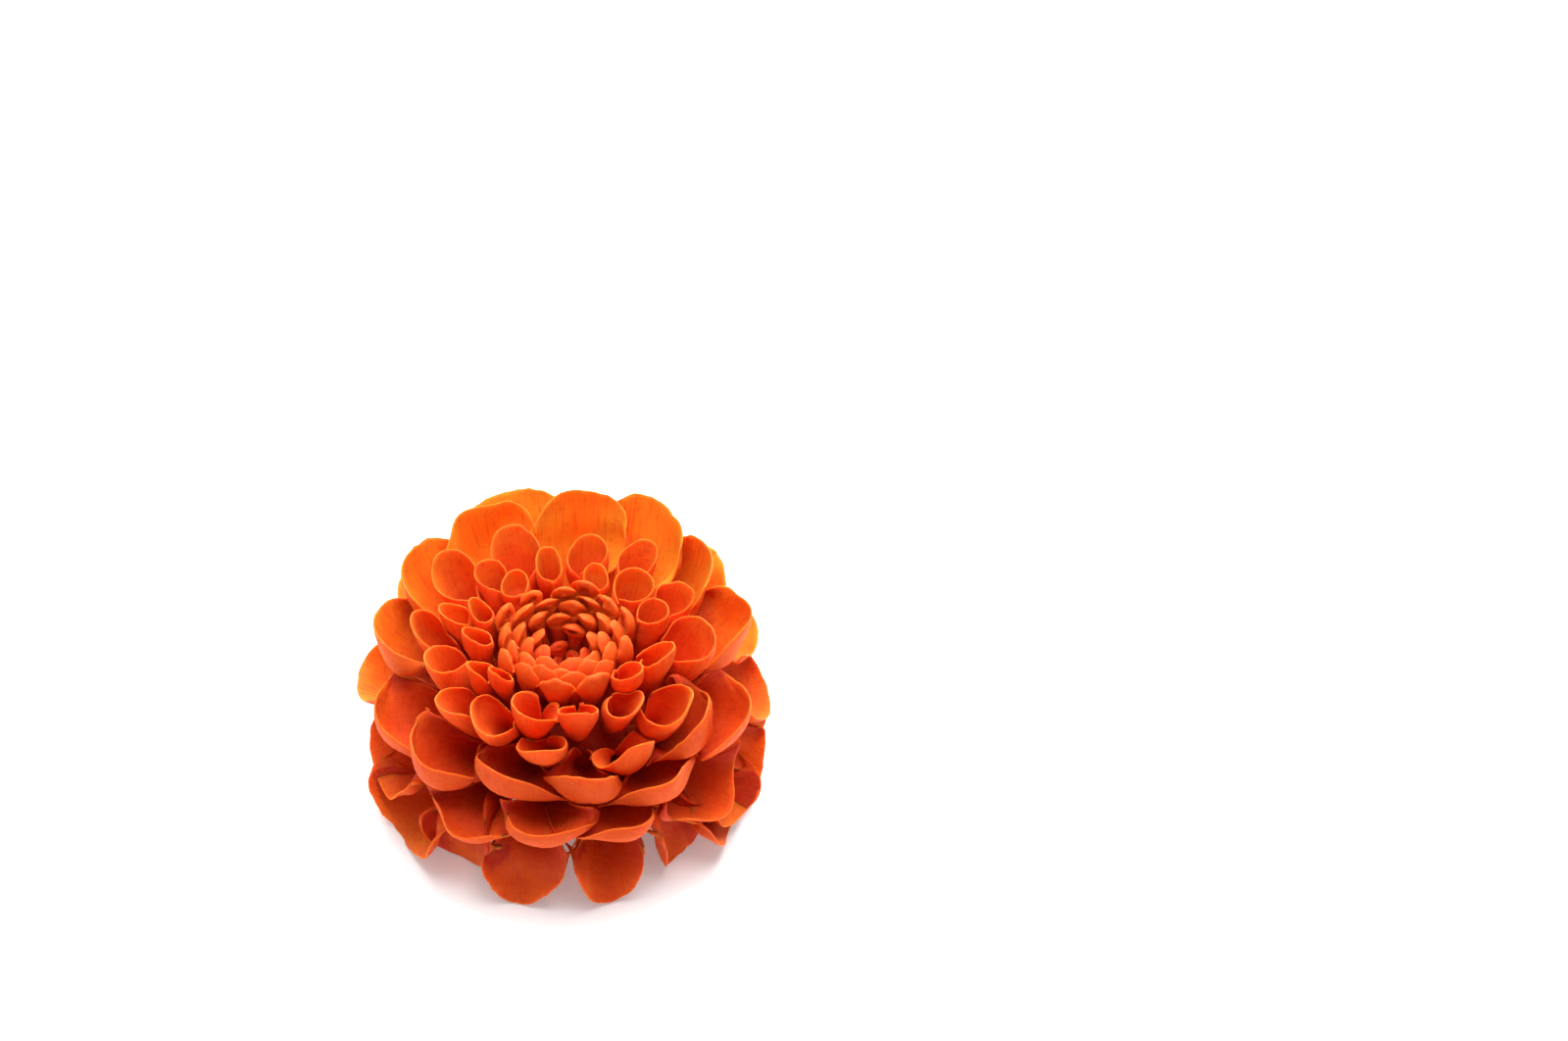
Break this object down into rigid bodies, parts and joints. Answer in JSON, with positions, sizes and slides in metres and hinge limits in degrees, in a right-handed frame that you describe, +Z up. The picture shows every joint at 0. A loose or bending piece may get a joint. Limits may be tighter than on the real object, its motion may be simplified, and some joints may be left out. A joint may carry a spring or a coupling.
{
  "type": "preserved dahlia flower head",
  "caption": "Stemless preserved ball dahlia head with rolled and opened petals round a small hollow, resting on its green calyx and lowest petals.",
  "frame": {"origin": "middle of the stem stub's cut end, on the surface that the head rests on", "axes": "+Z up along the head's axis, through the hollow between the centre buds; -Y towards the side whose petals hang lowest"},
  "size_m": [0.0655, 0.0655, 0.0322],
  "materials": {
    "petals": "satin",
    "calyx": "matte"
  },
  "bodies": {
    "root": {"bloom": "petals", "calyx": "calyx"}
  },
  "joints": []
}
